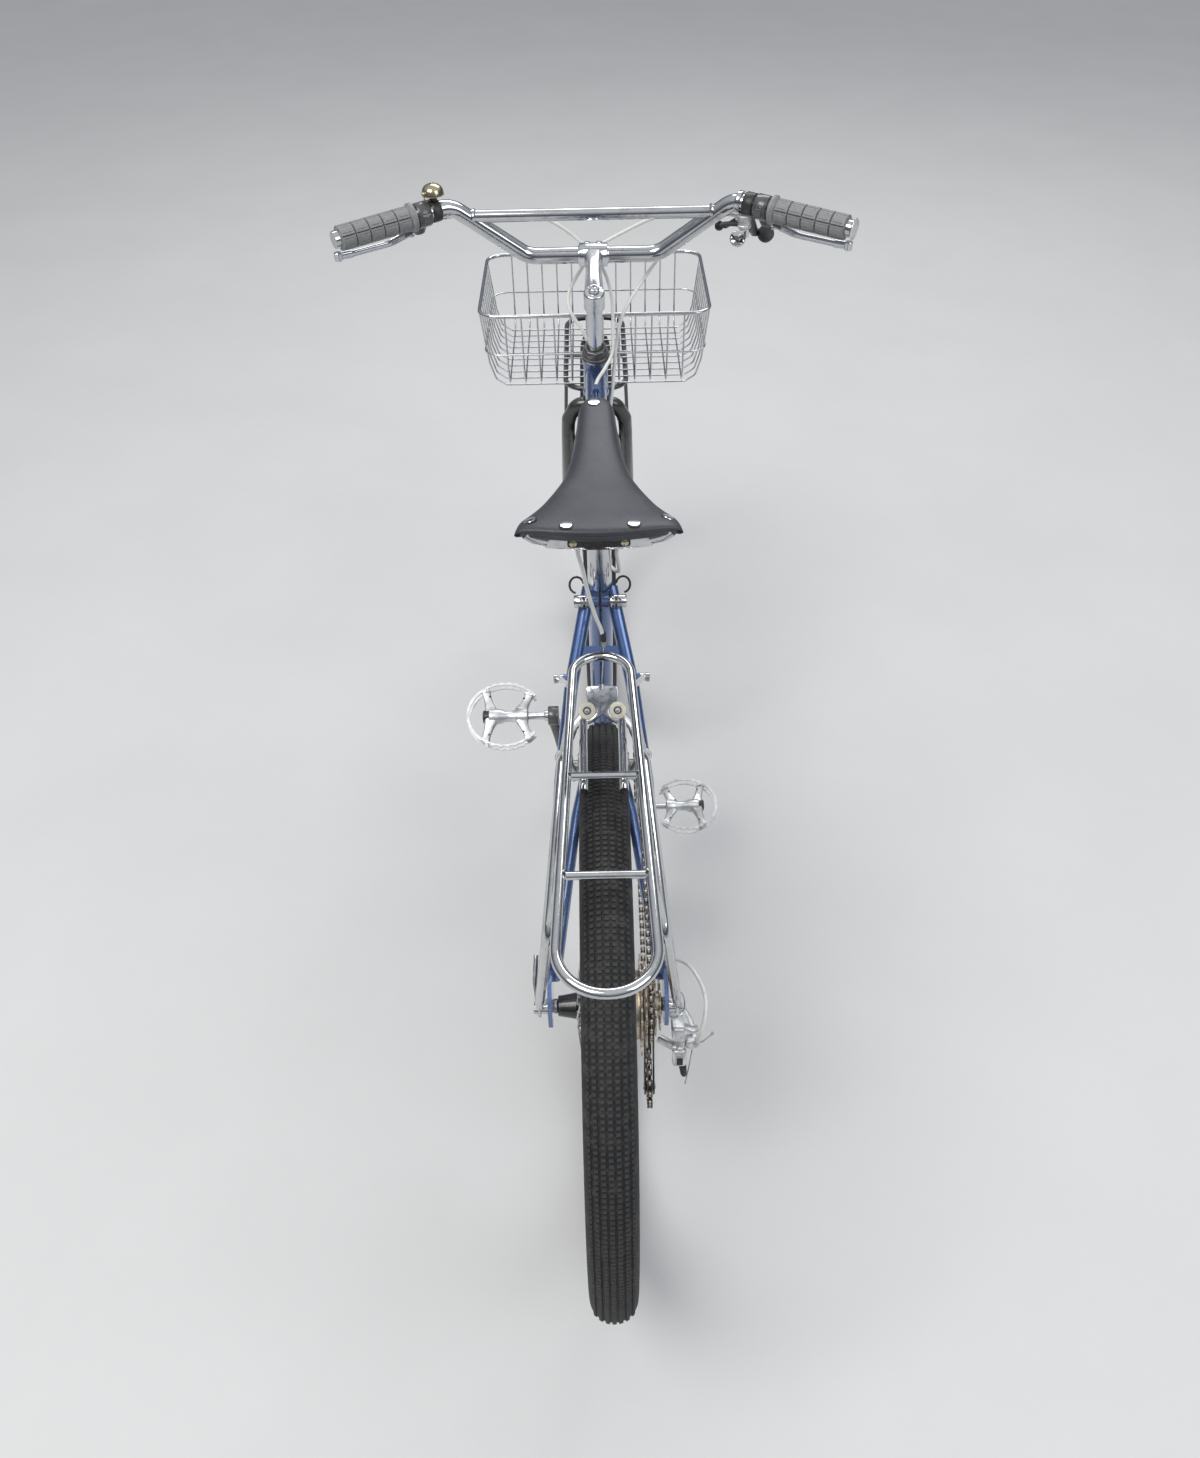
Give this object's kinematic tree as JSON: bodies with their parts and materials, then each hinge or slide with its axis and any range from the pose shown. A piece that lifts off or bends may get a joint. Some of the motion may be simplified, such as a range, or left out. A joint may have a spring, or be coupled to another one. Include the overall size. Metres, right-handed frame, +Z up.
{
  "type": "vintage bicycle with basket and rear rack",
  "caption": "Small-framed upright bicycle with a high handlebar, wire front basket, rear rack, leather saddle, cam brake, chain drive, turning steering, wheels, crank and pedals.",
  "frame": {"origin": "the rider's seat point on top of the saddle, over the seat post", "axes": "+Y forward, +X the bicycle's right, +Z up"},
  "size_m": [0.6968, 1.683, 0.984],
  "materials": {
    "blue_paint": "metallic gloss",
    "chrome": "polished",
    "silver": "polished",
    "steel": "satin",
    "black_metal": "satin",
    "tyre": "matte",
    "grip_rubber": "matte",
    "leather": "matte",
    "brass": "polished",
    "chain_steel": "oiled",
    "cream_plastic": "matte",
    "white_plastic": "gloss"
  },
  "bodies": {
    "frame": {"frame": "blue_paint", "headset_cups": "black_metal", "bracket_cups": "steel", "seatpost": "silver", "seat_binder": "chrome", "saddle_rails": "chrome", "saddle_cover": "leather", "rear_rack": "chrome", "rear_brake_arms": "silver", "rear_brake_rollers": "cream_plastic", "rear_brake_cam": "silver", "rear_brake_pads": "tyre", "rear_derailleur": "silver", "derailleur_cage": "black_metal", "chain": "chain_steel", "rear_axle": "steel"},
    "steering": {"fork": "black_metal", "headset_nuts": "black_metal", "stem": "silver", "handlebar": "chrome", "grip_left": "grip_rubber", "grip_right": "grip_rubber", "brake_lever_left": "black_metal", "brake_lever_right": "black_metal", "shifter": "black_metal", "bell": "brass", "front_rack": "chrome", "basket": "chrome", "front_axle": "steel", "front_brake_arms": "silver", "front_brake_pads": "tyre", "front_brake_cable": "white_plastic", "rear_brake_cable": "white_plastic", "shift_cable": "white_plastic"},
    "front_wheel": {"front_tyre": "tyre", "front_rim": "silver", "front_spokes": "steel", "front_hub": "black_metal"},
    "rear_wheel": {"rear_tyre": "tyre", "rear_rim": "silver", "rear_spokes": "steel", "rear_hub": "black_metal", "freewheel": "chain_steel"},
    "crankset": {"crank_spindle": "steel", "crank_left": "black_metal", "crank_right": "black_metal", "chainring": "steel", "pedal_axles": "steel"},
    "pedal_left": {"pedal_left": "silver"},
    "pedal_right": {"pedal_right": "silver"}
  },
  "joints": [
    {"name": "steering", "type": "hinge", "parent": "frame", "child": "steering", "pos_m": [0, 0.59504, -0.1689], "axis": [0, -0.342, 0.9397], "range_deg": [-60, 60], "deforming": ["rear_brake_cable", "shift_cable"]},
    {"name": "front_wheel_spin", "type": "hinge", "parent": "steering", "child": "front_wheel", "pos_m": [0, 0.782, -0.551], "axis": [1, 0, 0], "continuous": true},
    {"name": "rear_wheel_spin", "type": "hinge", "parent": "frame", "child": "rear_wheel", "pos_m": [0, -0.235, -0.551], "axis": [1, 0, 0], "continuous": true},
    {"name": "crank_spin", "type": "hinge", "parent": "frame", "child": "crankset", "pos_m": [0, 0.205, -0.594], "axis": [1, 0, 0], "continuous": true},
    {"name": "pedal_left_spin", "type": "hinge", "parent": "crankset", "child": "pedal_left", "pos_m": [0, 0.14196, -0.43397], "axis": [1, 0, 0], "continuous": true},
    {"name": "pedal_right_spin", "type": "hinge", "parent": "crankset", "child": "pedal_right", "pos_m": [0, 0.26804, -0.75403], "axis": [1, 0, 0], "continuous": true}
  ]
}
